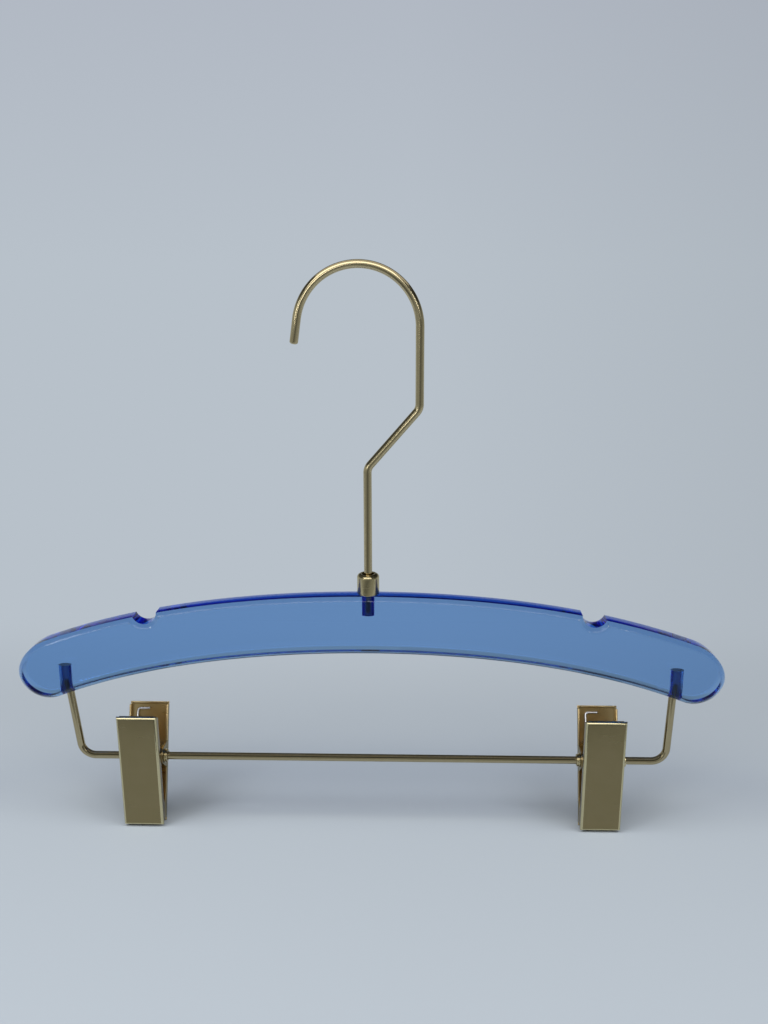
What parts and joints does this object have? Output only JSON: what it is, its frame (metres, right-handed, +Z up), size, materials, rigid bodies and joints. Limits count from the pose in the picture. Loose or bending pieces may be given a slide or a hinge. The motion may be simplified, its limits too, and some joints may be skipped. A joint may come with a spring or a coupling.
{
  "type": "clip hanger",
  "caption": "Clip hanger: a clear tinted arched blade under a swivelling wire hook, with a wire bar below carrying sliding sprung sheet metal clips.",
  "frame": {"origin": "inside of the hook's crook, at the top of the opening and straight above the stem, where the hanger bears on a rail", "axes": "+X runs along the blade to the viewer's right, +Y away from the viewer through the blade's thickness, +Z up along the hook's stem"},
  "size_m": [0.3494, 0.029, 0.282],
  "materials": {
    "plated_wire": "bright champagne gold plate on drawn steel wire",
    "plated_turning": "champagne gold plate on turned steel",
    "satin_sheet": "satin champagne gold plate on folded steel sheet",
    "spring_wire": "bright drawn spring wire",
    "tinted_plastic": "clear blue tinted cast acrylic, polished all round"
  },
  "bodies": {
    "hook": {"hook": "plated_wire"},
    "blade": {"blade": "tinted_plastic", "collar": "plated_turning", "stud": "plated_turning", "clip_bar": "plated_wire"},
    "left_tube": {"left_pivot_tube": "plated_turning"},
    "left_rear": {"left_rear_leaf": "satin_sheet", "left_spring": "spring_wire"},
    "left_front": {"left_front_leaf": "satin_sheet"},
    "right_tube": {"right_pivot_tube": "plated_turning"},
    "right_rear": {"right_rear_leaf": "satin_sheet", "right_spring": "spring_wire"},
    "right_front": {"right_front_leaf": "satin_sheet"}
  },
  "joints": [
    {"name": "hook_swivel", "type": "hinge", "parent": "hook", "child": "blade", "pos_m": [0, 0, -0.1483], "axis": [0, 0, 1], "continuous": true},
    {"name": "left_clip_slide", "type": "slide", "parent": "blade", "child": "left_tube", "axis": [1, 0, 0], "range_m": [-0.012, 0.1015]},
    {"name": "left_clip_swing", "type": "hinge", "parent": "left_tube", "child": "left_rear", "pos_m": [-0.1155, 0, -0.2423], "axis": [1, 0, 0], "continuous": true},
    {"name": "left_clip_open", "type": "hinge", "parent": "left_rear", "child": "left_front", "pos_m": [-0.1155, 0, -0.2423], "axis": [-1, 0, 0], "range_deg": [0, 42], "stiffness_Nm_per_rad": 0.2, "springref_deg": -34.38, "deforming": ["left_spring"]},
    {"name": "right_clip_slide", "type": "slide", "parent": "blade", "child": "right_tube", "axis": [1, 0, 0], "range_m": [-0.103, 0.0128]},
    {"name": "right_clip_swing", "type": "hinge", "parent": "right_tube", "child": "right_rear", "pos_m": [0.1172, 0, -0.2423], "axis": [1, 0, 0], "continuous": true},
    {"name": "right_clip_open", "type": "hinge", "parent": "right_rear", "child": "right_front", "pos_m": [0.1172, 0, -0.2423], "axis": [-1, 0, 0], "range_deg": [0, 42], "stiffness_Nm_per_rad": 0.2, "springref_deg": -34.38, "deforming": ["right_spring"]}
  ]
}
